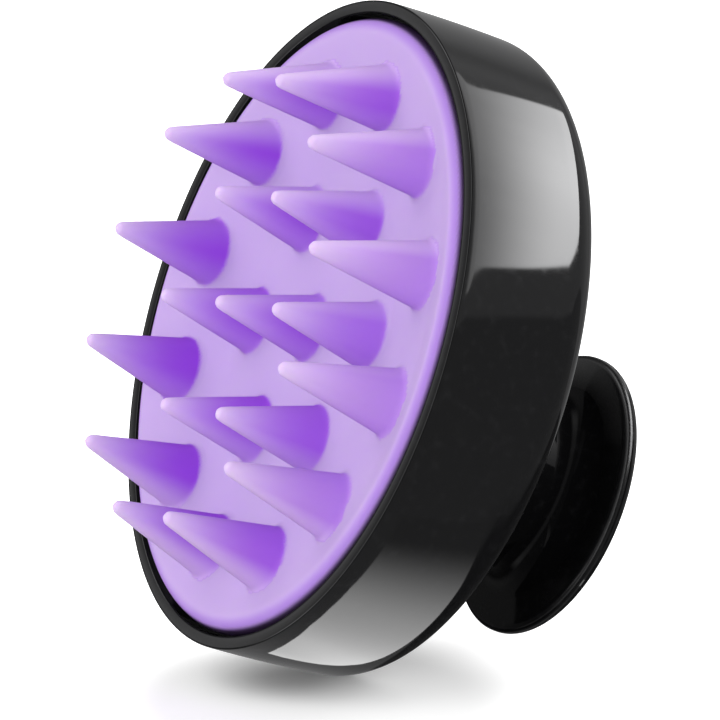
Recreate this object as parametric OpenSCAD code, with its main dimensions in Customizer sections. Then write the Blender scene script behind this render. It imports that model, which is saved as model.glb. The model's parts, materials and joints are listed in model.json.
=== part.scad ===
// Scalp massager brush: a round cup with a soft pad of 19 cones and a knob on a waisted neck.
//
// Every piece is drawn in the brush's own frame, with the cup's axis along Z, the cones on +Z and
// the middle of the cup's mouth at the origin. lie_down() then lays the whole brush on its side,
// as it rests on a table: on the cup's back edge and on the knob's edge.

/* [Cup] */
// Outer diameter of the cup at its lip
body_d = 86.2; // [81:0.2:95]
// Draft of the side wall: how much smaller its radius is at the back than at the lip
draft = 0.2; // [0:0.1:1.4]
// Depth of the cup from its lip to its flat back
body_h = 19.7; // [18:0.1:24]
// Thickness of the side wall behind the pad
wall = 2.4; // [2:0.1:3]
// Thickness of the back
back_t = 2.2; // [1.8:0.1:3]
// Wall of a boss round its screw hole
boss_wall = 1.9; // [1.5:0.1:2.5]
// Width of the flat lip round the pad
lip_w = 1.8; // [1.4:0.1:2]
// Rounding of the lip's two edges
lip_edge_r = 0.4; // [0.2:0.1:0.6]
// Rounding of the cup's back edge
edge_r = 3.8; // [1:0.1:4]
// Height of the lip above the mouth plane
lip_rise = 0.3; // [0:0.1:0.6]

/* [Pad] */
// Depth of the dish in the middle of the pad
dish_depth = 2.9; // [2:0.1:3.5]
// Radius of the flat middle of the dish
dish_flat_r = 21; // [21:0.5:24]
// Depth of the dish at its outer end, where the border begins
dish_edge_depth = 0.2; // [0:0.1:0.6]
// Width of the plain ring between the dish's outer end and the middle of the border
dish_margin = 3.2; // [2:0.1:4]
// Thickness of the soft web in the middle
web_t = 1.8; // [1.4:0.1:2.4]
// Radius of the rounded border
border_r = 2.2; // [1.5:0.1:3]
// Height of the border's crest above the mouth plane
border_rise = 0.7; // [0.4:0.1:1.2]
// Gap between the pad's edge and the lip
pad_gap = 0.35; // [0.3:0.05:0.6]
// Thickness of the soft skirt round the plate
skirt_t = 2.3; // [1.8:0.1:2.6]
// Thickness of the hook that grips behind the plate
hook_t = 1.8; // [1.4:0.1:2.2]
// Reach of the hook behind the plate
hook_reach = 3; // [2:0.1:4]
// Free room in the cup behind the hook
hook_room = 1; // [0.5:0.1:1.5]

/* [Cones] */
// Radius of a cone where it leaves the pad
cone_base_r = 4.45; // [3.6:0.05:5]
// Radius of a cone's rounded tip
cone_tip_r = 1; // [0.7:0.05:1.4]
// Height of the middle and inner cones, from the dish to the centre of the tip
inner_cone_h = 13.2; // [11:0.1:14]
// Height of the outer cones, from the dish to the centre of the tip
outer_cone_h = 14.6; // [11:0.1:15]
// Radius of the inner ring of cones
inner_ring_r = 16.3; // [15:0.1:17.5]
// Cones in the inner ring
inner_count = 6; // [4:1:6]
// Radius of the outer ring of cones
outer_ring_r = 31.4; // [29:0.1:32]
// Cones in the outer ring
outer_count = 12; // [6:1:12]
// Lean of the outer cones towards the middle, in degrees
outer_lean = 7.5; // [0:0.5:10]

/* [Plate] */
// Thickness of the stiff plate inside the pad
plate_t = 2; // [1.6:0.1:3]
// Gap between the plate and the soft pad
plate_gap = 0.1; // [0.05:0.05:0.3]
// Radius of the circle of plate screws
plate_screw_ring = 24.5; // [22:0.5:28]
// Plate screws
plate_screw_count = 4; // [3:1:6]
// Turn of the first plate screw about the cup's axis, in degrees
plate_screw_turn = 45; // [0:15:90]

/* [Screws] */
// Radius of a screw's shank
shank_r = 1.5; // [1.2:0.1:1.8]
// Radius of a screw's head
head_r = 2.8; // [2.4:0.1:3.2]
// Height of a pan head
head_h = 1.7; // [1.4:0.1:2]
// Height of a countersunk head
sunk_h = 1.3; // [1.1:0.1:1.5]
// Length of a plate screw
plate_screw_len = 9; // [7:0.5:10]
// Length of a foot screw under its head
foot_screw_len = 6.6; // [5:0.1:7]
// Length of the knob screw under its head
knob_screw_len = 12; // [8:0.5:16]
// Clearance between a screw and its hole
screw_gap = 0.05; // [0.02:0.01:0.15]
// Depth of the cross in a screw's head
cross_depth = 0.8; // [0.5:0.1:1]
// Width of a bar of the cross
cross_w = 0.8; // [0.6:0.1:1]

/* [Handle] */
// Distance of the neck's foot from the cup's axis
handle_offset = 10.5; // [6:0.1:12]
// Lean of the neck and knob away from the cup's axis, in degrees
handle_lean = 5; // [0:0.5:8]
// Length of the neck from the cup's back to the knob
neck_len = 22.2; // [18:0.2:28]
// Radius of the neck's waist
waist_r = 10; // [9:0.1:12]
// Growth of the neck's radius from its waist to the knob
neck_growth = 0.2; // [0:0.1:1.5]
// Rounding where the neck runs into the cup's back
foot_fillet = 5.5; // [3:0.1:7]
// Rounding where the neck runs into the knob
top_fillet = 4.5; // [2:0.1:5]
// Wall of the hollow neck
neck_wall = 2.2; // [1.8:0.1:3]
// Thickness of the neck's solid foot
foot_t = 5.5; // [4.5:0.1:7]
// Radius of the column for the knob's screw
column_r = 3.2; // [2.8:0.1:3.4]
// Length of the column's end that sits in the knob's socket
spigot_h = 1.2; // [0.8:0.1:1.6]
// Radius of the circle of foot screws
foot_screw_ring = 5.6; // [5.4:0.1:6]
// Screws in the neck's foot
foot_screw_count = 3; // [2:1:4]

/* [Knob] */
// Diameter of the knob
knob_d = 38.6; // [34:0.2:44]
// Thickness of the knob's disc, from its front face to the parting line on its edge
disc_t = 1.2; // [1.2:0.1:2]
// Rounding of the disc's front edge
disc_edge_r = 0.9; // [0.6:0.1:1.2]
// Rounding of the cap's edge
cap_edge_r = 1.2; // [1.2:0.1:2]
// Rise of the cap's dome above its edge rounding
cap_rise = 3.6; // [3.4:0.1:5]
// Wall of the cap
cap_wall = 1.4; // [1.2:0.1:1.6]
// Radius of the flat land in the middle of the cap
land_r = 7; // [5:0.5:9]
// Radius of the boss round the knob's screw
boss_r = 6; // [5.2:0.1:8]
// Thickness of the knob's boss
boss_t = 2.6; // [2.2:0.1:2.8]
// Outer radius of the disc's collar, on which the cap's ring snaps
collar_r = 12.4; // [11:0.1:13]
// Thickness of the collar and of the cap's ring
snap_t = 1.2; // [1:0.1:1.4]
// Height of the collar
collar_h = 1.2; // [0.8:0.1:1.4]
// Clearance between parts that slide into each other
fit_gap = 0.15; // [0.1:0.05:0.3]

/* [Hidden] */
$fn = 96;
// Reach of a cut that has no end, and overshoot of a cut past the face that it opens
far = 200;
past = 1;
body_r = body_d / 2;
mouth_r = body_r - lip_w;
back_z = lip_rise - body_h;
floor_z = back_z + back_t;
lip_z = lip_rise - lip_edge_r;
back_r = body_r - draft;
pad_r = mouth_r - pad_gap;
web_back_z = -dish_depth - web_t;
plate_r = pad_r - skirt_t;
plate_front_z = web_back_z - plate_gap;
plate_back_z = plate_front_z - plate_t;
hook_front_z = plate_back_z - plate_gap;
hook_back_z = hook_front_z - hook_t;
rebate_z = hook_back_z - hook_room;
border_x = pad_r - border_r;
border_z = border_rise - border_r;
dish_end_r = border_x - dish_margin;
// Height of the dish where the outer cones stand
outer_z = -dish_depth + (dish_depth - dish_edge_depth)
    * (outer_ring_r - dish_flat_r) / (dish_end_r - dish_flat_r);
hole_r = shank_r + screw_gap;
knob_r = knob_d / 2;
parting = neck_len + disc_t;
cap_flat_r = knob_r - cap_edge_r;

// The table touches two rounds in the plane of symmetry: the cup's back edge, about the point
// (edge_y, edge_z), and the cap's edge, about the point (grip_y, grip_z).
edge_y = edge_r - back_r;
edge_z = back_z + edge_r;
grip_y = -handle_offset - cap_flat_r * cos(handle_lean) - parting * sin(handle_lean);
grip_z = back_z + cap_flat_r * sin(handle_lean) - parting * cos(handle_lean);
lie_tilt = atan2(grip_y - edge_y, edge_z - grip_z)
    - asin((cap_edge_r - edge_r) / norm([grip_y - edge_y, edge_z - grip_z]));
table_drop = edge_r - edge_y * cos(lie_tilt) - edge_z * sin(lie_tilt);

// The middle of the laid brush, front to back
tip_reach = [outer_ring_r - outer_cone_h * sin(outer_lean),
             outer_cone_h * cos(outer_lean) + outer_z];
front_reach = cone_tip_r + tip_reach[1] * cos(lie_tilt)
    + tip_reach[0] * cos(180 / outer_count) * sin(lie_tilt);
cap_edge_y = -handle_offset + cap_flat_r * cos(handle_lean) - parting * sin(handle_lean);
cap_edge_z = back_z - cap_flat_r * sin(handle_lean) - parting * cos(handle_lean);
back_reach = cap_edge_r + cap_edge_y * sin(lie_tilt) - cap_edge_z * cos(lie_tilt);
middle_y = (back_reach - front_reach) / 2;

module lie_down() {
    translate([0, -middle_y, table_drop]) rotate([90 - lie_tilt, 0, 0]) children();
}

// The handle's own frame: its axis is Z, and Z falls from the cup's back towards the knob
module at_handle() {
    translate([0, -handle_offset, back_z]) rotate([-handle_lean, 0, 0]) children();
}

module ring_of(count, radius, first = 0) {
    for (k = [0 : count - 1]) rotate([0, 0, first + k * 360 / count]) translate([radius, 0, 0])
        children();
}

module at_plate_screws() { ring_of(plate_screw_count, plate_screw_ring, plate_screw_turn) children(); }

module at_foot_screws() {
    translate([0, -handle_offset, 0]) ring_of(foot_screw_count, foot_screw_ring, 90) children();
}

// The fillet between a floor and a wall: a square less a quarter round
module corner_fillet(r) {
    difference() {
        square(r);
        translate([r, r]) circle(r);
    }
}

// Half a slice through a disc of radius r and height h whose upper edge has rounding e
module rounded_half(r, h, e) {
    square([r - e, h]);
    if (h > e) square([r, h - e]);
    intersection() {
        translate([r - e, h - e]) circle(e);
        square([r, h]);
    }
}

module cross(depth) {
    for (turn = [0, 90]) rotate([0, 0, turn]) translate([-head_r / 2, -cross_w / 2, 0])
        cube([head_r, cross_w, depth]);
}

// A screw along Z: the underside of its pan head is at z = 0, and its shank points down
module pan_screw(len) {
    difference() {
        union() {
            translate([0, 0, -len]) cylinder(h = len, r = shank_r);
            cylinder(h = head_h, r = head_r);
        }
        translate([0, 0, head_h - cross_depth]) cross(far);
    }
}

// A countersunk screw along Z: the top of its head is at z = 0, and its shank points down
module sunk_screw(len) {
    difference() {
        union() {
            translate([0, 0, -len]) cylinder(h = len, r = shank_r);
            translate([0, 0, -sunk_h]) cylinder(h = sunk_h, r1 = shank_r, r2 = head_r);
        }
        translate([0, 0, -cross_depth]) cross(far);
    }
}

// A cone with a round tip, whose side runs smoothly into the tip's sphere at height h
module soft_cone(h) {
    half_angle = atan2(cone_base_r, h) - asin(cone_tip_r / norm([cone_base_r, h]));
    root = web_t / 2;
    translate([0, 0, -root]) cylinder(h = root, r = cone_base_r);
    cylinder(h = h + cone_tip_r * sin(half_angle), r1 = cone_base_r,
             r2 = cone_tip_r * cos(half_angle));
    translate([0, 0, h]) sphere(cone_tip_r);
}

// The pad's web, border, skirt and hook in one slice, less the room for the plate
module pad_slice() {
    difference() {
        union() {
            polygon([[0, -dish_depth], [dish_flat_r, -dish_depth], [dish_end_r, -dish_edge_depth],
                     [border_x, border_rise], [border_x, web_back_z], [0, web_back_z]]);
            translate([border_x, border_z]) circle(border_r);
            translate([plate_r - hook_reach, hook_back_z])
                square([pad_r - plate_r + hook_reach, border_z - hook_back_z]);
        }
        translate([-past, hook_front_z])
            square([plate_r + plate_gap + past, web_back_z - hook_front_z]);
        translate([-past, hook_back_z - past])
            square([plate_r - hook_reach + past, web_back_z - hook_back_z + past]);
    }
}

module bristle_pad() {
    color([0.75, 0.6, 0.93]) {
        rotate_extrude() pad_slice();
        translate([0, 0, -dish_depth]) {
            soft_cone(inner_cone_h);
            ring_of(inner_count, inner_ring_r) soft_cone(inner_cone_h);
        }
        translate([0, 0, outer_z]) ring_of(outer_count, outer_ring_r, 180 / outer_count)
            rotate([0, -outer_lean, 0]) soft_cone(outer_cone_h);
    }
}

module carrier_plate() {
    color([0.85, 0.85, 0.86]) difference() {
        translate([0, 0, plate_back_z]) cylinder(h = plate_t, r = plate_r);
        at_plate_screws() {
            translate([0, 0, plate_back_z - past])
                cylinder(h = plate_t + 2 * past, r = hole_r);
            translate([0, 0, plate_front_z - sunk_h])
                cylinder(h = sunk_h, r1 = hole_r, r2 = head_r + screw_gap);
        }
    }
}

module plate_screws() {
    color([0.7, 0.7, 0.72]) at_plate_screws()
        translate([0, 0, plate_front_z]) sunk_screw(plate_screw_len);
}

// A slice through the cup: its drafted wall, its flat back, its flat lip and its rounded edges
module cup_slice() {
    difference() {
        union() {
            polygon([[0, back_z], [back_r - edge_r, back_z], [back_r, edge_z], [body_r, lip_z],
                     [body_r - lip_edge_r, lip_rise], [mouth_r + lip_edge_r, lip_rise],
                     [mouth_r, lip_z], [0, lip_z]]);
            translate([back_r - edge_r, edge_z]) circle(edge_r);
            for (x = [mouth_r + lip_edge_r, body_r - lip_edge_r]) translate([x, lip_z])
                circle(lip_edge_r);
        }
        translate([-past, floor_z]) square([back_r - wall + past, far]);
        translate([-past, rebate_z]) square([mouth_r + past, far]);
    }
}

module shell() {
    color([0.08, 0.08, 0.09]) difference() {
        union() {
            rotate_extrude() cup_slice();
            at_plate_screws() translate([0, 0, floor_z - back_t / 2])
                cylinder(h = plate_back_z - floor_z + back_t / 2, r = hole_r + boss_wall);
        }
        at_plate_screws() translate([0, 0, floor_z]) cylinder(h = far, r = hole_r);
        at_foot_screws() translate([0, 0, back_z - past])
            cylinder(h = back_t + 2 * past, r = hole_r);
    }
}

module neck() {
    top_r = waist_r + neck_growth;
    color([0.08, 0.08, 0.09]) difference() {
        union() {
            at_handle() {
                rotate_extrude() difference() {
                    union() {
                        polygon([[0, back_t], [waist_r + foot_fillet, back_t],
                                 [waist_r + foot_fillet, 0], [waist_r, 0],
                                 [waist_r, -foot_fillet], [top_r, top_fillet - neck_len],
                                 [top_r, -neck_len], [0, -neck_len]]);
                        translate([waist_r, 0]) mirror([0, 1]) corner_fillet(foot_fillet);
                        translate([top_r, -neck_len]) corner_fillet(top_fillet);
                    }
                    translate([column_r, -far - foot_t])
                        square([waist_r - neck_wall - column_r, far]);
                }
                translate([0, 0, -neck_len - spigot_h]) cylinder(h = neck_len, r = column_r);
            }
        }
        translate([-far, -far, back_z]) cube(2 * far);
        at_foot_screws() translate([0, 0, back_z - foot_screw_len])
            cylinder(h = far, r = hole_r);
        at_handle() translate([0, 0, -neck_len - spigot_h - past])
            cylinder(h = knob_screw_len, r = hole_r);
    }
}

module foot_screws() {
    color([0.7, 0.7, 0.72]) at_foot_screws()
        translate([0, 0, floor_z]) pan_screw(foot_screw_len);
}

module knob_base() {
    color([0.08, 0.08, 0.09]) at_handle() difference() {
        union() {
            translate([0, 0, -parting]) rotate_extrude()
                rounded_half(knob_r, disc_t, disc_edge_r);
            translate([0, 0, -neck_len - boss_t]) cylinder(h = boss_t, r = boss_r);
            translate([0, 0, -parting - collar_h])
                cylinder(h = collar_h + disc_t / 2, r = collar_r);
        }
        translate([0, 0, -parting - collar_h - past]) difference() {
            cylinder(h = collar_h + past, r = collar_r - snap_t);
            cylinder(h = collar_h + past, r = boss_r);
        }
        translate([0, 0, -neck_len - spigot_h - fit_gap])
            cylinder(h = spigot_h + fit_gap + past, r = column_r + fit_gap);
        translate([0, 0, -neck_len - boss_t - past])
            cylinder(h = boss_t + 2 * past, r = hole_r);
    }
}

module knob_screw() {
    color([0.7, 0.7, 0.72]) at_handle() translate([0, 0, -neck_len - boss_t])
        rotate([180, 0, 0]) pan_screw(knob_screw_len);
}

// A slice of the cap's outer form: a rounded edge, then a shallow dome that rises from the
// rounding to a flat land in the middle. The dome's circle lies depth below the rounding's top.
module cap_slice() {
    depth = (pow(cap_flat_r, 2) - pow(land_r, 2) - pow(cap_rise, 2)) / (2 * cap_rise);
    rounded_half(knob_r, cap_edge_r, cap_edge_r);
    intersection() {
        square([cap_flat_r, cap_edge_r + cap_rise]);
        translate([0, cap_edge_r - depth]) circle(norm([depth, cap_flat_r]), $fn = 360);
    }
}

module knob_cap() {
    color([0.08, 0.08, 0.09]) at_handle() translate([0, 0, -parting]) mirror([0, 0, 1])
        rotate_extrude() {
            difference() {
                cap_slice();
                intersection() {
                    translate([0, -cap_wall]) cap_slice();
                    square([knob_r - 2 * cap_wall, far]);
                }
            }
            intersection() {
                cap_slice();
                translate([collar_r + fit_gap, 0]) square([snap_t, far]);
            }
        }
}

lie_down() bristle_pad();
lie_down() carrier_plate();
lie_down() plate_screws();
lie_down() shell();
lie_down() neck();
lie_down() foot_screws();
lie_down() knob_base();
lie_down() knob_screw();
lie_down() knob_cap();
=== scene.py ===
# %% [markdown]
# # A scalp massager brush
# A palm brush for washing hair: a cup of polished black plastic, a soft lavender pad with 19
# cones in its mouth, and a waisted neck with a round knob that goes between two fingers. This
# lesson dresses the measured model of it. The measured pieces fix every size and place. Here
# they get their smooth skins, finishes, table and light.
#
# The brush lies on its side, so nothing is square to the room. That would make every outline
# awkward to write. The way round it is to draw each piece upright, with the cup's axis on Z,
# and to lay the finished mesh down with one matrix, which is read off the model's flat faces.

# %% Load the measured model
import json
import math

import bmesh
import bpy
from mathutils import Matrix, Vector


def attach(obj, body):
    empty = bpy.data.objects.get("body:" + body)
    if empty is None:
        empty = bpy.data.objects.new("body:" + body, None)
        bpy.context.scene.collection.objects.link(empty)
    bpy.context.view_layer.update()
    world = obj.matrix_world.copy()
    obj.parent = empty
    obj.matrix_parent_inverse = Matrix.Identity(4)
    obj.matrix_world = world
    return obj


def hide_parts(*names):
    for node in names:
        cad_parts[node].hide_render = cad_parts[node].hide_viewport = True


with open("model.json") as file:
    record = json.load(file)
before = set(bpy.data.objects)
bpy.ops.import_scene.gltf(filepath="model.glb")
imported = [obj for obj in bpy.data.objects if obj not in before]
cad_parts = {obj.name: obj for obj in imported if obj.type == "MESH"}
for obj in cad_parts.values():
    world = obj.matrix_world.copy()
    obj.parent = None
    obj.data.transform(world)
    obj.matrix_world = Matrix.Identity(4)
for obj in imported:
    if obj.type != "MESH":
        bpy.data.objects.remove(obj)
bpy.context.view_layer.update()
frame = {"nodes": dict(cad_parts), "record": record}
record = frame["record"]
mounts = {mount["name"]: mount for mount in record["mounts"]}
print("nodes:", sorted(frame["nodes"]))

# %% [markdown]
# ## Two frames to draw in
# The cup's back is a flat face and the knob's cap has a flat land. Each face gives a direction
# and a point, and so a frame: the brush frame has the cones on +Z and the middle of the cup's
# mouth at its origin, and the handle frame has its Z on the neck's axis and its origin where
# the neck meets the cup. The sizes below are in millimetres, as a maker would write them.

# %% Brush frame and handle frame
MM = 0.001
BODY_R = 43.1
BACK_Z = -19.4
BACK_MARK_Y = 25
NECK_LEN = 22.2
KNOB_R = 19.3
DISC_T = 1.2
CAP_EDGE_R = 1.2
CAP_RISE = 3.6
PARTING = NECK_LEN + DISC_T
CAP_LAND = PARTING + CAP_EDGE_R + CAP_RISE


def frame_at(face):
    """A turn whose Z looks back into a mount's face, and whose X is the room's."""
    up = -Vector(face["axis"]).normalized()
    across = Vector((1, 0, 0))
    return Matrix((across, up.cross(across), up)).transposed()


brush_turn = frame_at(mounts["cup_back"])
brush_at = Vector(mounts["cup_back"]["pos_m"]) - brush_turn @ Vector((0, BACK_MARK_Y, BACK_Z)) * MM
in_brush = Matrix.Translation(brush_at) @ brush_turn.to_4x4() @ Matrix.Scale(MM, 4)
handle_turn = frame_at(mounts["knob_land"])
handle_at = Vector(mounts["knob_land"]["pos_m"]) - handle_turn @ Vector((0, 0, -CAP_LAND)) * MM
in_handle = Matrix.Translation(handle_at) @ handle_turn.to_4x4() @ Matrix.Scale(MM, 4)
print("lies back by", round(math.degrees(math.asin(brush_turn.col[2].z)), 2), "degrees")

# %% [markdown]
# ## Turned pieces
# Cup, neck and knob are round, so each is an outline spun about its axis, as on a lathe. An
# outline lists only its corners, and arc() puts true rounds between them, because a polished
# surface shows every flat in its reflections. The spin closes on itself with use_merge, so no
# seam is left. The normals are made to point outwards after that, before the piece is laid down.

# %% Outline and spin helpers
SMOOTH_STEPS = 224


def arc(x, z, radius, start, end, count=10):
    """Points on a round, from the angle start to the angle end, in degrees from +X to +Z."""
    angles = [math.radians(start + (end - start) * k / count) for k in range(count + 1)]
    return [(x + radius * math.cos(a), z + radius * math.sin(a)) for a in angles]


def spin_outline(bm, outline, steps=SMOOTH_STEPS):
    """Spins an outline of (radius, height) about Z into an empty bm."""
    points = [bm.verts.new((radius, 0, height)) for radius, height in outline]
    edges = [bm.edges.new(pair) for pair in zip(points, points[1:])]
    bmesh.ops.spin(bm, geom=points + edges, cent=(0, 0, 0), axis=(0, 0, 1),
                   angle=math.tau, steps=steps, use_merge=True)
    bmesh.ops.remove_doubles(bm, verts=bm.verts[:], dist=1e-4)


def finish_piece(bm, name, place, node, sharp=40):
    """Lays a drawn piece down, makes it an object and lets it stand for a measured node."""
    bmesh.ops.recalc_face_normals(bm, faces=bm.faces[:])
    bmesh.ops.transform(bm, matrix=place, verts=bm.verts[:])
    for face in bm.faces:
        face.smooth = True
    for edge in bm.edges:
        edge.smooth = edge.calc_face_angle(0) < math.radians(sharp)
    mesh = bpy.data.meshes.new(name)
    bm.to_mesh(mesh)
    bm.free()
    piece = bpy.data.objects.new(name, mesh)
    bpy.context.scene.collection.objects.link(piece)
    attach(piece, "root")
    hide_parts(node)
    print(name, len(mesh.polygons), "faces")
    return piece


# %% [markdown]
# ## The cup
# A cup with a narrow lip, a side wall, a well rounded back edge and a flat back. The lip is
# crowned by a few hundredths of a millimetre between its two small rounds, so that a light runs
# along it as a soft streak and not as a hard stripe. The wall
# isn't quite a cylinder: it swells by a few hundredths of a millimetre below the lip and draws
# in again towards the back, as moulded walls do. That is too little to see in the outline, but
# it turns the surface by four degrees from lip to back, and so spreads the soft side of a light
# over the whole wall. A true cylinder would show the light as one flat tone.

# %% Model the cup
LIP_W = 1.8
LIP_EDGE_R = 0.4
LIP_RISE = 0.3
LIP_CROWN = 14
MOUTH_R = BODY_R - LIP_W
WALL_R = 43.025
WALL_SWELL, WALL_DRAW_IN = 0.4, 0.54
BACK_EDGE_R = 3.8
REBATE_Z = -9.7
INNER_R = 40.5
FLOOR_Z = -17.2
WALL_STEPS = 14

lip_z = LIP_RISE - LIP_EDGE_R
lip_x = (MOUTH_R + WALL_R) / 2
crown_r = LIP_EDGE_R + (WALL_R - lip_x - LIP_EDGE_R) / math.sin(math.radians(LIP_CROWN))
crown_z = lip_z - (crown_r - LIP_EDGE_R) * math.cos(math.radians(LIP_CROWN))
wall_end_z = BACK_Z + BACK_EDGE_R
wall_depth = lip_z - wall_end_z
wall_lean = math.degrees(math.atan((2 * WALL_DRAW_IN - WALL_SWELL) / wall_depth))
wall_shares = [k / WALL_STEPS for k in range(1, WALL_STEPS)]
wall = [(WALL_R + WALL_SWELL * along - WALL_DRAW_IN * along ** 2, lip_z - wall_depth * along)
        for along in wall_shares]
edge_x = WALL_R + WALL_SWELL - WALL_DRAW_IN - BACK_EDGE_R
cup_outline = (
    [(0, FLOOR_Z), (INNER_R, FLOOR_Z), (INNER_R, REBATE_Z), (MOUTH_R, REBATE_Z)]
    + arc(MOUTH_R + LIP_EDGE_R, lip_z, LIP_EDGE_R, 180, 90 + LIP_CROWN, 8)
    + arc(lip_x, crown_z, crown_r, 90 + LIP_CROWN, 90 - LIP_CROWN, 10)[1:-1]
    + arc(WALL_R - LIP_EDGE_R, lip_z, LIP_EDGE_R, 90 - LIP_CROWN, 0, 8)
    + wall
    + arc(edge_x, wall_end_z, BACK_EDGE_R, -wall_lean, -90, 18)
    + [(0, BACK_Z)]
)
bm = bmesh.new()
spin_outline(bm, cup_outline)
cup = finish_piece(bm, "cup_skin", in_brush, "shell")

# %% [markdown]
# ## Neck and knob
# The neck is a waist between two flares, and the knob a disc with a full round edge. A hollow
# cap closes the knob from behind, and the parting line between the two is a fine groove right
# on the edge, where a finger doesn't feel it. Groove and flares are in the outlines, so they
# are real shapes, which catch the light from any side.

# %% Model the neck
WAIST_R = 10.0
NECK_GROWTH = 0.2
FOOT_FILLET = 5.5
TOP_FILLET = 4.5
SINK = 0.6
GROWTH_SHARES = ((0.12, -9.0), (0.45, -13.5))

top_r = WAIST_R + NECK_GROWTH
neck_outline = (
    [(0, SINK), (WAIST_R + FOOT_FILLET, SINK)]
    + arc(WAIST_R + FOOT_FILLET, -FOOT_FILLET, FOOT_FILLET, 90, 180, 16)
    + [(WAIST_R + NECK_GROWTH * share, z) for share, z in GROWTH_SHARES]
    + arc(top_r + TOP_FILLET, TOP_FILLET - NECK_LEN, TOP_FILLET, 180, 270, 12)
    + [(0, -NECK_LEN)]
)
bm = bmesh.new()
spin_outline(bm, neck_outline)
neck = finish_piece(bm, "neck_skin", in_handle, "neck")

# %% Model the knob's disc and its cap
GROOVE = 0.14
GROOVE_TURN = math.degrees(math.asin(GROOVE / CAP_EDGE_R))
DISC_EDGE_R = 0.9

disc_outline = (
    [(0, -NECK_LEN)]
    + arc(KNOB_R - DISC_EDGE_R, -NECK_LEN - DISC_EDGE_R, DISC_EDGE_R, 90, 0, 14)
    + [(KNOB_R, -PARTING + GROOVE), (KNOB_R - GROOVE, -PARTING + GROOVE / 3),
       (KNOB_R - GROOVE, -PARTING), (0, -PARTING)]
)
bm = bmesh.new()
spin_outline(bm, disc_outline)
knob = finish_piece(bm, "knob_disc_skin", in_handle, "knob_base", sharp=30)

LAND_R = 7.0
cap_x = KNOB_R - CAP_EDGE_R
dome_depth = (cap_x ** 2 - LAND_R ** 2 - CAP_RISE ** 2) / (2 * CAP_RISE)
dome_r = math.hypot(dome_depth, cap_x)
dome_start = math.degrees(math.atan2(dome_depth, cap_x))
dome_end = math.degrees(math.acos(LAND_R / dome_r))
cap_outline = (
    [(0, -PARTING), (KNOB_R - GROOVE, -PARTING)]
    + arc(cap_x, -PARTING, CAP_EDGE_R, -GROOVE_TURN, -dome_start, 14)
    + [(x, -PARTING - CAP_EDGE_R + dome_depth - z)
       for x, z in arc(0, 0, dome_r, dome_start, dome_end, 8)][1:]
    + [(0, -PARTING - CAP_EDGE_R - CAP_RISE)]
)
bm = bmesh.new()
spin_outline(bm, cap_outline)
cap = finish_piece(bm, "knob_cap_skin", in_handle, "knob_cap", sharp=30)

# %% [markdown]
# ## The soft pad
# One silicone moulding: a dished web, a rounded border that curls down behind the lip, and 19
# cones with round tips, which grow out of the web through small fillets. Light wanders inside
# silicone, so its skin has to be one closed surface: a cone that was only stuck into the web
# would show a dark ring where the two skins cross. So web and cones are spun as closed bodies,
# fused by a voxel remesh into one skin, and relaxed, which also softens every fillet as the
# moulding does. Relaxing takes a little off each tip, so the cones are drawn TIP_SPARE longer.

# %% Draw the web and the cones
PAD_R = 40.95
BORDER_R = 2.2
BORDER_RISE = 0.7
DISH_END_R = 35.55
DISH_DEPTH = 2.9
DISH_FLAT_R = 21.0
DISH_EDGE_DEPTH = 0.2
WEB_BACK_Z = -4.7
SKIRT_Z = -8.7
HOOK_Z = -6.9
PLATE_R = 38.75
HOOK_R = 35.65
CONE_R = 4.45
TIP_R = 1.0
CONE_FILLET = 0.25
CONE_ROOT = 1.3
INNER_CONE_H = 13.2
OUTER_CONE_H = 14.6
OUTER_Z = -0.97
INNER_RING = 16.3
OUTER_RING = 31.4
OUTER_LEAN = 7.5
INNER_COUNT, OUTER_COUNT, OUTER_FIRST = 6, 12, 15
CONE_STEPS = 64
WEB_STEPS = 180
TIP_SPARE = 0.04

border_x = PAD_R - BORDER_R
border_z = BORDER_RISE - BORDER_R
web_outline = (
    [(0, -DISH_DEPTH), (DISH_FLAT_R, -DISH_DEPTH), (DISH_END_R, -DISH_EDGE_DEPTH)]
    + arc(border_x, border_z, BORDER_R, 90, 0, 16)
    + [(PAD_R, SKIRT_Z), (HOOK_R, SKIRT_Z), (HOOK_R, HOOK_Z), (PLATE_R, HOOK_Z),
       (PLATE_R, WEB_BACK_Z), (0, WEB_BACK_Z)]
)


def cone_outline(height):
    """Half a cone on its axis: its root in the web, a flared foot, the side and a round tip."""
    slope = math.atan2(CONE_R, height) - math.asin(TIP_R / math.hypot(CONE_R, height))
    lean = math.degrees(slope)
    foot = CONE_FILLET * math.tan(math.radians(45 - lean / 2))
    return (
        [(0, -CONE_ROOT), (CONE_R + foot, -CONE_ROOT)]
        + arc(CONE_R + foot, CONE_FILLET, CONE_FILLET, 270, 180 + lean, 8)
        + arc(0, height, TIP_R, lean, 90, 8)
    )


def drawn(outline, steps):
    """A spun outline as a mesh of its own, to be put into a larger piece."""
    bm = bmesh.new()
    spin_outline(bm, outline, steps)
    bmesh.ops.recalc_face_normals(bm, faces=bm.faces[:])
    mesh = bpy.data.meshes.new("drawn")
    bm.to_mesh(mesh)
    bm.free()
    return mesh


def cone_place(ring, angle, base_z, lean=0):
    """The matrix that stands a cone on its ring, leaning towards the middle."""
    return (Matrix.Rotation(math.radians(angle), 4, "Z")
            @ Matrix.Translation((ring, 0, base_z))
            @ Matrix.Rotation(math.radians(-lean), 4, "Y"))


places = [(INNER_CONE_H, cone_place(0, 0, -DISH_DEPTH))]
for k in range(INNER_COUNT):
    places.append((INNER_CONE_H, cone_place(INNER_RING, 360 / INNER_COUNT * k, -DISH_DEPTH)))
for k in range(OUTER_COUNT):
    angle = OUTER_FIRST + 360 / OUTER_COUNT * k
    places.append((OUTER_CONE_H, cone_place(OUTER_RING, angle, OUTER_Z, OUTER_LEAN)))

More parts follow.
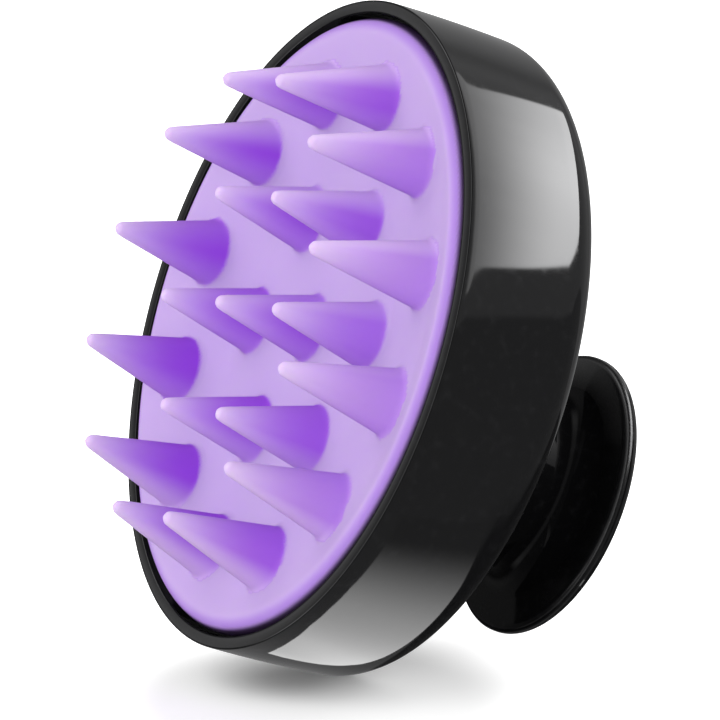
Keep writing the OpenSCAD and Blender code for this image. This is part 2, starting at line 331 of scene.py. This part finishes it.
bm = bmesh.new()
bm.from_mesh(drawn(web_outline, WEB_STEPS))
for height, place in places:
    first = len(bm.verts)
    bm.from_mesh(drawn(cone_outline(height + TIP_SPARE), CONE_STEPS))
    bm.verts.ensure_lookup_table()
    bmesh.ops.transform(bm, matrix=place, verts=bm.verts[first:])
print("pad drawn with", len(places), "cones and", len(bm.faces), "faces, before it is fused")

# %% Fuse the pad into one skin
VOXEL = 0.38
RELAX_SHARE, RELAX_ROUNDS = 0.5, 3

rough_mesh = bpy.data.meshes.new("pad_rough")
bm.to_mesh(rough_mesh)
bm.free()
rough = bpy.data.objects.new("pad_rough", rough_mesh)
bpy.context.scene.collection.objects.link(rough)
fuse = rough.modifiers.new("fuse", "REMESH")
fuse.mode = "VOXEL"
fuse.voxel_size = VOXEL
relax = rough.modifiers.new("relax", "SMOOTH")
relax.factor = RELAX_SHARE
relax.iterations = RELAX_ROUNDS
fused = rough.evaluated_get(bpy.context.evaluated_depsgraph_get())
bm = bmesh.new()
bm.from_mesh(fused.to_mesh())
fused.to_mesh_clear()
bpy.data.objects.remove(rough)
bpy.data.meshes.remove(rough_mesh)
print("pad fused:", len(bm.faces), "faces, closed:", all(edge.is_manifold for edge in bm.edges))

# %% [markdown]
# ### Notes for the finish
# The pad is one silicone, so light and shade are painted into its colour by where a point is: a
# painted shade deepens a cone's side, a painted glow lights its thin tip, and the web stays paler.
# So each point of the skin notes five shares from 0 to 1: whether it is on the rounded border,
# which gets a painted shade; whether it is down in the gap behind the lip, which is painted nearly
# black as shade; whether it is on a cone; how far up, for the painted glow of the tip; and how much
# light reaches that side of the cone, which is painted as a paler tone. The cones near the top of
# the brush catch the studio's light on their upper sides, and the low ones get it back from the
# table, on their lower sides.

# %% Note where each point is
RIM_FROM, RIM_FULL = PAD_R - 2.4, PAD_R - 1.0
GAP_FROM, GAP_FULL = PAD_R - 0.85, PAD_R - 0.35
EDGE_START, EDGE_WIDTH = 0.1, 0.3
NEAR_AXIS = 0.3
LEAST_FROM_BELOW, MOST_FROM_RIGHT = 0.4, 0.55


def step(value, low, high):
    """0 below low, 1 above high, and a smooth step between."""
    share = max(0.0, min(1.0, (value - low) / (high - low)))
    return share * share * (3 - 2 * share)


def light_on(facing, seat):
    """The light on a side of a cone that faces 1 up or -1 down, with the cone's seat on the pad."""
    from_above = step(facing, -0.1, 0.9) * step(seat.y + 0.5 * seat.x, -0.6, 0.75)
    from_below = step(-facing, 0.0, 1.0) * max(LEAST_FROM_BELOW, step(-seat.y, -0.2, 0.9))
    return max(from_above, from_below, MOST_FROM_RIGHT * step(seat.x, -0.1, 1.0))


on_rim = bm.verts.layers.float.new("rim")
gap_shade = bm.verts.layers.float.new("gap_shade")
on_cone = bm.verts.layers.float.new("on_cone")
up_cone = bm.verts.layers.float.new("up_cone")
lit_side = bm.verts.layers.float.new("lit_side")
cones = [(height, place, place.inverted(), place.translation / OUTER_RING)
         for height, place in places]
for vert in bm.verts:
    from_axis = math.hypot(vert.co.x, vert.co.y)
    vert[on_rim] = step(from_axis, RIM_FROM, RIM_FULL)
    vert[gap_shade] = step(from_axis, GAP_FROM, GAP_FULL)
    for height, place, into_cone, seat in cones:
        local = into_cone @ vert.co
        off_axis = math.hypot(local.x, local.y)
        share = max(0.0, min(1.0, local.z / height))
        if local.z < EDGE_START or off_axis > CONE_R + (TIP_R - CONE_R) * share + EDGE_WIDTH:
            continue
        vert[on_cone] = step(local.z, EDGE_START, EDGE_START + EDGE_WIDTH)
        vert[up_cone] = share
        axis_y = (place @ Vector((0, 0, local.z))).y
        vert[lit_side] = light_on((vert.co.y - axis_y) / max(off_axis, NEAR_AXIS), seat)
        break
pad = finish_piece(bm, "pad_skin", in_brush, "bristle_pad", sharp=180)

# %% [markdown]
# ## Shader maths as plain sums
# A finish is arithmetic on noise and position. Written as nodes, each sum takes five lines, so
# this small class wraps a socket: + - * / on it add Math nodes, and add() puts in any other
# node, its settings first. Only things that change over the surface go through it. A number
# that is the same all over is set straight on the shader.

# %% A wrapper for shader sockets
class Wire:
    def __init__(self, tree, socket):
        self.tree, self.socket = tree, socket

    def _sum(self, operation, first, second):
        node = self.tree.nodes.new("ShaderNodeMath")
        node.operation = operation
        for slot, value in zip(node.inputs, (first, second)):
            connect(self.tree, slot, value)
        return Wire(self.tree, node.outputs[0])

    def __add__(self, other):
        return self._sum("ADD", self, other)

    def __radd__(self, other):
        return self._sum("ADD", other, self)

    def __sub__(self, other):
        return self._sum("SUBTRACT", self, other)

    def __rsub__(self, other):
        return self._sum("SUBTRACT", other, self)

    def __mul__(self, other):
        return self._sum("MULTIPLY", self, other)

    def __rmul__(self, other):
        return self._sum("MULTIPLY", other, self)

    def __truediv__(self, other):
        return self._sum("DIVIDE", self, other)

    def __pow__(self, other):
        return self._sum("POWER", self, other)

    def apply(self, operation, other=None):
        """Any other operation of the Math node on this wire."""
        return self._sum(operation, self, other)


def grey(level):
    return (level, level, level, 1)


def connect(tree, slot, value):
    """Puts a value on a socket, or a wire into it."""
    if isinstance(value, Wire):
        tree.links.new(value.socket, slot)
    elif value is not None:
        slot.default_value = value


class Finish:
    """A material with its nodes: add() puts in a node, and dress() sets the shader."""

    def __init__(self, name):
        self.material = bpy.data.materials.new(name)
        self.material.use_nodes = True
        self.tree = self.material.node_tree
        self.shader = self.tree.nodes["Principled BSDF"]

    def add(self, kind, settings=None, inputs=None, output=0):
        node = self.tree.nodes.new(kind)
        for key, value in (settings or {}).items():
            setattr(node, key, value)
        for key, value in (inputs or {}).items():
            connect(self.tree, node.inputs[key], value)
        return Wire(self.tree, node.outputs[output])

    def place(self):
        return self.add("ShaderNodeTexCoord", output="Object")

    def noise(self, scale, detail=2.0, where=None):
        inputs = {"Vector": where or self.place(), "Scale": scale, "Detail": detail}
        return self.add("ShaderNodeTexNoise", inputs=inputs, output="Fac")

    def between(self, value, low, high):
        """0 below low, 1 above high, and a smooth step between."""
        inputs = {"Value": value, "From Min": low, "From Max": high}
        return self.add("ShaderNodeMapRange", {"interpolation_type": "SMOOTHSTEP"}, inputs,
                        "Result")

    def blend(self, share, one, two):
        node = self.tree.nodes.new("ShaderNodeMix")
        node.data_type = "RGBA"
        for slot, value in ((0, share), (6, one), (7, two)):
            connect(self.tree, node.inputs[slot], value)
        return Wire(self.tree, node.outputs[2])

    def bump(self, height, strength, distance):
        inputs = {"Height": height, "Strength": strength, "Distance": distance}
        return self.add("ShaderNodeBump", inputs=inputs, output="Normal")

    def dress(self, **values):
        for key, value in values.items():
            connect(self.tree, self.shader.inputs[key.replace("_", " ")], value)
        return self.material


def put_on(piece, material):
    """Gives a new piece its finish."""
    piece.data.materials.clear()
    piece.data.materials.append(material)


# %% [markdown]
# ## Lavender silicone
# Pigmented silicone is soft to the eye because light enters it and comes out near by. Thin tips
# glow pale, and the flanks of a cone look deeper than the web, since light there has crossed more
# pigment. Subsurface scattering gives the softness, but the glow of the tips, the deeper flanks and
# the lit sides of the cones are painted into the base colour, mixed by the notes that the skin
# carries. The rounded border gets a painted shade, and a fine matt grain breaks the sheen, as the
# mould's blasted surface does. The gap is painted nearly black, as shade, since no light comes back
# out of it. Reflections don't show the pad, because the photo's lip and knob hold no purple.

# %% Finish of the pad
WEB_TONE = (0.56, 0.405, 0.75, 1)
RIM_SHADE_TONE = (0.42, 0.22, 0.74, 1)
GAP_SHADE_TONE = (0.03, 0.015, 0.05, 1)
FLANK_SHADE_TONE = (0.36, 0.075, 0.77, 1)
LIT_TONE = (0.68, 0.48, 0.88, 1)
TIP_GLOW_TONE = (0.76, 0.58, 0.92, 1)
LIT_SHARE, RIM_SHADE_SHARE, TIP_GLOW_POWER = 0.85, 0.8, 2.4
BLEED = (0.0011, 0.0006, 0.0016)

silicone = Finish("lavender_silicone")
notes = {name: silicone.add("ShaderNodeAttribute", {"attribute_name": name}, output="Fac")
         for name in ("rim", "gap_shade", "on_cone", "up_cone", "lit_side")}
# Painted light and shade on the cones: a deep shaded flank, a paler tone where light reaches, and a
# painted glow at the tip.
painted_cone = silicone.blend(notes["lit_side"] * LIT_SHARE, FLANK_SHADE_TONE, LIT_TONE)
painted_cone = silicone.blend(notes["up_cone"] ** TIP_GLOW_POWER, painted_cone, TIP_GLOW_TONE)
cloudy = notes["on_cone"] * (0.96 + silicone.noise(160, 3) * 0.06)
# Painted shade: a deeper violet on the pad's rounded border.
web = silicone.blend(notes["rim"] * RIM_SHADE_SHARE, WEB_TONE, RIM_SHADE_TONE)
# Painted shade: the gap behind the lip is painted near black, where no light comes back out.
web = silicone.blend(notes["gap_shade"], web, GAP_SHADE_TONE)
tone = silicone.blend(cloudy, web, painted_cone)
grain = silicone.noise(2600, 2)
silicone.shader.subsurface_method = "RANDOM_WALK"
silicone.dress(
    Base_Color=tone, Roughness=0.42 + silicone.noise(420, 2) * 0.12,
    Normal=silicone.bump(grain, 0.1, 0.0001), IOR=1.43, Specular_IOR_Level=0.35,
    Subsurface_Weight=0.3, Subsurface_Radius=BLEED, Subsurface_Scale=1.0,
)
put_on(pad, silicone.material)
pad.visible_glossy = False

# %% [markdown]
# ## Polished black plastic
# The mould is mirror polished, so cup and knob reflect like a still pond. A perfect mirror looks
# like glass though. What tells plastic is a very slight waviness, where the wall sank as it
# cooled, and a faint haze of wiping marks. Both are tiny, so that straight lights stay straight.
# The neck and the disc's front stand in the cup's shade, where a photographer's black card takes
# the room's reflections away. Their finish mirrors less for that, all but the disc's rim, which
# gets a painted highlight on its right half: a clear coat there, and only there, mirrors the room.
# IMAGE_RIGHT is the room's direction that is right there.

# %% Finish of the cup, neck and knob
BLACK = (0.0045, 0.0045, 0.005, 1)
DUSTY = (0.012, 0.012, 0.013, 1)
FULL_MIRROR, SHADED_MIRROR = 0.5, 0.025
IMAGE_RIGHT = Vector((0.447, 0.894, 0.0))
RIM_HIGHLIGHT_FROM_R = 13.5
RIM_HIGHLIGHT_FROM_RIGHT, RIM_HIGHLIGHT_FULL_RIGHT = -3, 8


def polished_plastic(name, sink_depth, mirror=FULL_MIRROR, rim_middle=None):
    """Black gloss with a faint sink and wiping marks; a clear coat paints a highlight on a rim's
    right half.
    """
    plastic = Finish(name)
    rim = 0.0
    if rim_middle is not None:
        from_middle = plastic.add("ShaderNodeVectorMath", {"operation": "DISTANCE"},
                                  {0: plastic.place(), 1: tuple(rim_middle)}, "Value")
        rightward = plastic.add("ShaderNodeVectorMath", {"operation": "DOT_PRODUCT"},
                                {0: plastic.place(), 1: tuple(IMAGE_RIGHT)}, "Value")
        rightward = rightward - rim_middle.dot(IMAGE_RIGHT)
        # Painted highlight: the coat lies only on the rim's right half, where the light shows.
        rim = plastic.between(from_middle, RIM_HIGHLIGHT_FROM_R * MM, KNOB_R * MM)
        rim = rim * plastic.between(rightward, RIM_HIGHLIGHT_FROM_RIGHT * MM, RIM_HIGHLIGHT_FULL_RIGHT * MM)
    sink = plastic.noise(38, 1)
    wiped = plastic.between(plastic.noise(700, 4), 0.5, 0.9)
    return plastic.dress(
        Base_Color=plastic.blend(wiped, BLACK, DUSTY),
        Roughness=0.04 + wiped * 0.04 + plastic.noise(90, 2) * 0.02,
        Normal=plastic.bump(sink, 0.35, sink_depth), IOR=1.5, Specular_IOR_Level=mirror,
        Coat_Weight=rim, Coat_Roughness=0.25,
    )


put_on(cup, polished_plastic("cup_black", 0.00002))
put_on(neck, polished_plastic("neck_black", 0.00003, SHADED_MIRROR))
disc_middle = in_handle @ Vector((0, 0, -NECK_LEN))
put_on(knob, polished_plastic("disc_black", 0.00003, SHADED_MIRROR, disc_middle))
put_on(cap, polished_plastic("cap_black", 0.00003))

# %% [markdown]
# ## What is hidden inside
# The plate and the screws stay as measured. They still get true finishes, because anyone may
# take the brush apart: a plain white moulding with a fine blasted grain, and zinc plated steel
# with its faint bluish stains.

# %% Finish of the plate and the screws
white = Finish("plate_white")
white.dress(
    Base_Color=white.blend(white.noise(60, 3), (0.72, 0.72, 0.7, 1), (0.8, 0.8, 0.79, 1)),
    Roughness=0.5 + white.noise(300, 2) * 0.15,
    Normal=white.bump(white.noise(1800, 2), 0.2, 0.0001),
)
zinc = Finish("zinc_steel")
zinc.dress(
    Base_Color=zinc.blend(zinc.noise(500, 3), (0.5, 0.52, 0.56, 1), (0.68, 0.67, 0.64, 1)),
    Metallic=1.0, Roughness=0.28 + zinc.noise(900, 2) * 0.2,
)
for node, material in (("carrier_plate", white.material), ("plate_screws", zinc.material),
                       ("foot_screws", zinc.material), ("knob_screw", zinc.material)):
    for slot in frame["nodes"][node].material_slots:
        slot.material = material

# %% [markdown]
# ## Table and light
# Black gloss shows little of its own colour. It shows the room. A photographer lights such a
# piece by what it mirrors, with a long softbox behind it for the bright band on the wall, a
# pale table that shows in the wall's underside, and dark surroundings, which keep the rest deep
# black. Here all three are glowing shapes that only reflections see. The soft pad wants the
# opposite, a broad even light from the front, so it has its own lamps.
#
# The floor glows white, as an overexposed table does, with painted shadows: its glow is taken down
# for a wide soft shade under the brush and for a small dark one where it touches, and there the
# lamps' own shadows show as well. Each is an oval of the picture, in pixels. Two vectors turn a
# distance on the floor into pixels to the right and down, the camera's roll included.

# %% Helpers for cards and lamps
AIM = in_brush @ Vector((4.4, -2.5, -8.6))


def toward(azimuth, elevation):
    """A direction in the room: azimuth 0 is -Y, in front of the cones, and 90 is +X."""
    a, e = math.radians(azimuth), math.radians(elevation)
    return Vector((math.sin(a) * math.cos(e), -math.cos(a) * math.cos(e), math.sin(e)))


def lamp(name, azimuth, elevation, distance, size, watts):
    """A soft lamp that looks at the brush. Neither the camera nor a reflection sees it."""
    light = bpy.data.lights.new(name, "AREA")
    light.shape, light.size, light.size_y = "RECTANGLE", size[0], size[1]
    light.energy = watts
    holder = bpy.data.objects.new(name, light)
    bpy.context.scene.collection.objects.link(holder)
    out = toward(azimuth, elevation)
    holder.location = AIM + out * distance
    holder.rotation_euler = out.to_track_quat("Z", "Y").to_euler()
    holder.visible_camera = holder.visible_glossy = False


# %% Floor
FLOOR_HALF = 6.0
PER_PIXEL_RIGHT = Vector((3.5, 6.9, 0.0)) / MM
PER_PIXEL_DOWN = Vector((0.97, -1.57, 0.0)) / MM
SHADE_MIDDLE, SHADE_HALF_PIXELS = (14.5, -20.0), (290, 95)
TOUCH_SHADOW_MIDDLE, TOUCH_SHADOW_HALF_PIXELS = (-1.9, -15.5), (112, 34)
OPEN_GLOW, SHADE_GLOW, TOUCH_SHADOW_GLOW = 1.2, 0.33, 0.05

bm = bmesh.new()
bmesh.ops.create_grid(bm, x_segments=1, y_segments=1, size=FLOOR_HALF)
floor_mesh = bpy.data.meshes.new("floor")
bm.to_mesh(floor_mesh)
bm.free()
floor = bpy.data.objects.new("floor", floor_mesh)
bpy.context.scene.collection.objects.link(floor)
floor.visible_glossy = False
pale = Finish("pale_floor")
seen = pale.add("ShaderNodeLightPath", output="Is Camera Ray")


def from_oval(middle, half_pixels):
    """0 at a place on the floor, in mm, and 1 on the edge of an oval in the picture, in pixels."""
    apart = pale.add("ShaderNodeVectorMath", {"operation": "SUBTRACT"},
                     {0: pale.place(), 1: (middle[0] * MM, middle[1] * MM, 0)}, "Vector")
    parts = [pale.add("ShaderNodeVectorMath", {"operation": "DOT_PRODUCT"},
                      {0: apart, 1: tuple(pixels / reach)}, "Value")
             for pixels, reach in zip((PER_PIXEL_RIGHT, PER_PIXEL_DOWN), half_pixels)]
    return (parts[0] ** 2 + parts[1] ** 2) ** 0.5


# Painted shadows: the floor's glow is lowered in a wide oval under the brush and in a small one
# where it touches.
out_of_shade = pale.between(from_oval(SHADE_MIDDLE, SHADE_HALF_PIXELS), 0.5, 1.0)
floor_glow = pale.blend(out_of_shade, grey(SHADE_GLOW), grey(OPEN_GLOW))
off_touch_shadow = pale.between(from_oval(TOUCH_SHADOW_MIDDLE, TOUCH_SHADOW_HALF_PIXELS), 0.1, 1.0)
floor_glow = pale.blend(off_touch_shadow, grey(TOUCH_SHADOW_GLOW), floor_glow)
pale.dress(Base_Color=grey(0.8), Roughness=1.0, Specular_IOR_Level=0.0,
           Emission_Color=pale.blend(seen, grey(0), floor_glow), Emission_Strength=1.0)
floor.data.materials.append(pale.material)

# %% [markdown]
# ### The room that the plastic mirrors
# One large dome holds all that the black plastic mirrors, and only reflections see it. What is
# painted on it depends on the direction alone. Two numbers name a direction: `turn`, the angle
# about the cup's axis, and `back`, how far it points along that axis towards the knob. On the
# wall of the cup, turn runs round the wall and back runs from the lip to the back edge, so a
# shape in these two numbers shows as the same shape on the wall. The wall is crowned a little,
# so one softbox with a soft side gives a band that brightens from the lip to the back edge. The
# rest is a haze that stands for the studio's far walls, an even light from the front for the
# lip, and a thin line that the lip's crown draws out into its soft streak.

# %% Paint the mirrored room
DOME_R = 2.2
BOX_TURN, BOX_HALF_TURN, BOX_SLANT = 72.0, 35.5, 85.0
BOX_BACK, BOX_START, BOX_CORNER, BOX_END = 0.475, 0.375, 0.44, 0.57
BOX_FLARE = 0.2
BOX_LIGHT, BOX_MORE_LIGHT, BOX_FADE = 1.6, 8.6, 0.55
ROOM, HAZE, UNDER_BOX, LEFT_HAZE, LOW_DIM = 0.06, 0.16, 0.2, 0.1, 0.8
LIP_LIGHT, LIP_LINE = 0.36, 2.0
BLUE_CAST = 1.01

bm = bmesh.new()
bmesh.ops.create_icosphere(bm, subdivisions=4, radius=DOME_R)
dome_mesh = bpy.data.meshes.new("mirrored_room")
bm.to_mesh(dome_mesh)
bm.free()
dome = bpy.data.objects.new("mirrored_room", dome_mesh)
bpy.context.scene.collection.objects.link(dome)
room = Finish("mirrored_room_glow")


def part_along(axis):
    """How far the direction in which a point of the dome lies points along an axis."""
    inputs = {0: room.place(), 1: tuple(axis.normalized() / DOME_R)}
    return room.add("ShaderNodeVectorMath", {"operation": "DOT_PRODUCT"}, inputs, "Value")


def mirrored_only(piece):
    """Lets only reflections see a piece of the stage."""
    piece.visible_camera = piece.visible_diffuse = piece.visible_shadow = False
    piece.visible_transmission = piece.visible_volume_scatter = False


across, upward, outward = (brush_turn.col[k] for k in range(3))
back = part_along(-outward)
turn = part_along(upward).apply("ARCTAN2", part_along(across)) * (180 / math.pi)
slant = (back - BOX_BACK) * BOX_SLANT
flare = 1 + BOX_FLARE * (1 - room.between(back, 0.395, 0.432))
side = ((turn - BOX_TURN - slant) / (BOX_HALF_TURN * flare)).apply("ABSOLUTE")
depth = ((back - BOX_CORNER) / (BOX_END - BOX_CORNER)).apply("MAXIMUM", 0.0)
in_box = room.between(back, BOX_START, BOX_START + 0.02)
in_box = in_box * (1 - room.between(side ** 4 + depth ** 4, 0.92, 1.08))
softbox = in_box * (BOX_LIGHT + BOX_MORE_LIGHT * room.between(back, 0.4, 0.525))
softbox = softbox * (1 - BOX_FADE * room.between(turn, 70, 114))
under_box = room.between(turn - slant, 18, 21) * (1 - room.between(turn, 112, 124))
sideways = room.between(back, 0.2, 0.4)
haze = HAZE + UNDER_BOX * under_box + LEFT_HAZE * room.between(turn, 115, 135)
haze = ROOM + sideways * haze
haze = haze * (1 - LOW_DIM * room.between(turn, -35, -60) * room.between(back, 0.525, 0.56))
from_front = LIP_LIGHT * (1 - room.between(back, -0.4, -0.2))
lip_line = LIP_LINE * room.between(back, -0.36, -0.27) * (1 - room.between(back, -0.2, -0.08))
lip_line = lip_line * (1 - room.between(turn.apply("ABSOLUTE"), 110, 140))
light = softbox + haze + from_front + lip_line
tint = room.add("ShaderNodeCombineColor", inputs={0: light, 1: light, 2: light * BLUE_CAST})
room.dress(Base_Color=grey(0), Roughness=1.0, Specular_IOR_Level=0.0,
           Emission_Color=tint, Emission_Strength=1.0)
dome.data.materials.append(room.material)
mirrored_only(dome)

# %% [markdown]
# ### The card on the table
# Low on the cup's wall, the table shows as a pale field with sharp edges. It lies only some
# millimetres from the wall, so here a direction isn't enough, and a real card takes its place:
# it lies flat under the wall, dims at its left end and fades out to the right, and again only
# reflections see it. Its corners are in millimetres on the table.

# %% Lay the card under the wall
CARD_CORNERS = ((1.9, -21.1), (5.9, -21.6), (10.2, -21.8), (16.8, -21.7), (22.6, -20.9),
                (28.7, -19.6), (35.2, -17.8), (43.7, -15.3), (51.2, -13.0), (51.2, 0.5),
                (46.0, -1.0), (34.0, -4.3), (26.0, -6.9), (20.0, -8.9), (15.5, -10.5),
                (12.0, -12.0), (8.9, -13.8), (6.6, -15.5), (4.6, -17.4), (2.9, -19.3))
CARD_LIFT, CARD_LIGHT, DIM_SHARE, ROOM_SHARE = 0.3, 2.9, 0.42, 0.065
DIM_FROM, DIM_TO, FADE_FROM, FADE_TO = 14.0, 4.0, 23.0, 44.0

bm = bmesh.new()
corners = [bm.verts.new((x * MM, y * MM, CARD_LIFT * MM)) for x, y in CARD_CORNERS]
bm.faces.new(corners)
card_mesh = bpy.data.meshes.new("table_card")
bm.to_mesh(card_mesh)
bm.free()
card = bpy.data.objects.new("table_card", card_mesh)
bpy.context.scene.collection.objects.link(card)
glow = Finish("table_card_glow")
right = glow.add("ShaderNodeSeparateXYZ", inputs={0: glow.place()}, output="X") / MM
card_glow = 1 - DIM_SHARE * (1 - glow.between(right, DIM_TO, DIM_FROM))
card_glow = card_glow * (1 - glow.between(right, FADE_FROM, FADE_TO)) + ROOM_SHARE
card_glow = CARD_LIGHT * card_glow
card_tint = glow.add("ShaderNodeCombineColor", inputs={k: card_glow for k in range(3)})
glow.dress(Base_Color=grey(0), Roughness=1.0, Specular_IOR_Level=0.0,
           Emission_Color=card_tint, Emission_Strength=1.0)
card.data.materials.append(glow.material)
mirrored_only(card)

# %% Lamps and world
AMBIENT = 0.52

lamp("key", azimuth=-20, elevation=38, distance=1.1, size=(1.1, 1.1), watts=7.4)
lamp("front_fill", azimuth=55, elevation=4, distance=1.3, size=(0.9, 0.9), watts=6.3)
lamp("back_light", azimuth=150, elevation=40, distance=1.2, size=(0.8, 0.6), watts=4)

world = bpy.data.worlds.new("studio")
bpy.context.scene.world = world
world.use_nodes = True
sky = world.node_tree.nodes["Background"]
path = world.node_tree.nodes.new("ShaderNodeLightPath")
ambient = world.node_tree.nodes.new("ShaderNodeMix")
ambient.data_type = "RGBA"
seen_direct = Wire(world.node_tree, path.outputs["Is Camera Ray"])
seen_mirrored = Wire(world.node_tree, path.outputs["Is Glossy Ray"])
seen_through = Wire(world.node_tree, path.outputs["Is Transmission Ray"])
connect(world.node_tree, ambient.inputs[0], seen_direct + seen_mirrored + seen_through)
connect(world.node_tree, ambient.inputs[6], grey(AMBIENT))
connect(world.node_tree, ambient.inputs[7], grey(1))
connect(world.node_tree, sky.inputs["Color"], Wire(world.node_tree, ambient.outputs[2]))

# %% [markdown]
# ## Camera
# The picture was taken with a long lens from the right of the cones, a little above the table.
# A long lens keeps the round mouth an even ellipse.

# %% Camera
VIEW_AZIMUTH = 63.43
VIEW_ELEVATION = 7.78
VIEW_ROLL = -7.07
VIEW_DISTANCE = 0.6476
LENS = 252.0

lens = bpy.data.cameras.new("camera")
lens.lens = LENS
lens.sensor_width = 36.0
camera = bpy.data.objects.new("camera", lens)
bpy.context.scene.collection.objects.link(camera)
out = toward(VIEW_AZIMUTH, VIEW_ELEVATION)
roll = Matrix.Rotation(math.radians(VIEW_ROLL), 4, "Z")
camera.matrix_world = (Matrix.Translation(AIM + out * VIEW_DISTANCE)
                       @ out.to_track_quat("Z", "Y").to_matrix().to_4x4() @ roll)
bpy.context.scene.camera = camera
bpy.context.scene.view_settings.view_transform = "Standard"
print("camera at", [round(v, 3) for v in camera.matrix_world.translation])
